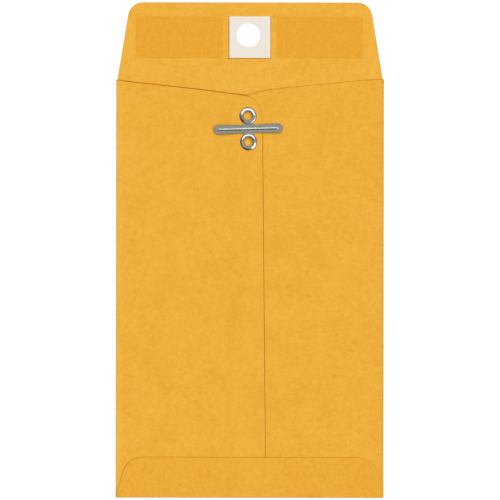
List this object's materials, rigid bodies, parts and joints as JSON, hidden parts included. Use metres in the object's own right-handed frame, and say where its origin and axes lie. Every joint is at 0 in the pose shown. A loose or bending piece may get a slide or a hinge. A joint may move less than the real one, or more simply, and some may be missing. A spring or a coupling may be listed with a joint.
{
  "type": "clasp envelope",
  "caption": "Open-end kraft paper envelope with a centre seam, a punched and gummed closure flap that folds over, and a bendable metal clasp on the seam.",
  "frame": {"origin": "middle of the opened envelope in plan, on the underside of its front panel and open flap", "axes": "+X to the right as seen from the seam side, +Y from the bottom fold towards the closure flap, +Z out of the seam side, up off the table"},
  "size_m": [0.1036, 0.1916, 0.0014],
  "materials": {
    "kraft": "matte",
    "gum": "satin",
    "adhesive": "satin",
    "patch_paper": "matte",
    "tinplate": "satin"
  },
  "bodies": {
    "envelope_body": {"front_panel": "kraft", "left_side_panel": "kraft", "right_side_panel": "kraft", "left_side_crease": "kraft", "right_side_crease": "kraft", "bottom_flap": "kraft", "bottom_crease": "kraft", "centre_seam_glue": "adhesive", "bottom_flap_glue": "adhesive", "clasp_base": "tinplate"},
    "closure_flap": {"closure_flap": "kraft", "flap_gum_left": "gum", "flap_gum_right": "gum", "flap_hole_patch": "patch_paper"},
    "left_prong": {"left_prong": "tinplate"},
    "right_prong": {"right_prong": "tinplate"}
  },
  "joints": [
    {"name": "flap_fold", "type": "hinge", "parent": "envelope_body", "child": "closure_flap", "pos_m": [0, 0.06571, 0.00083], "axis": [1, 0, 0], "range_deg": [0, 178]},
    {"name": "left_prong_bend", "type": "hinge", "parent": "envelope_body", "child": "left_prong", "pos_m": [-0.0032, 0.04674, 0.00109], "axis": [-0.0288, 0.9996, 0], "range_deg": [0, 90]},
    {"name": "right_prong_bend", "type": "hinge", "parent": "envelope_body", "child": "right_prong", "pos_m": [0.0018, 0.04689, 0.00109], "axis": [0.0288, -0.9996, 0], "range_deg": [0, 90]}
  ]
}
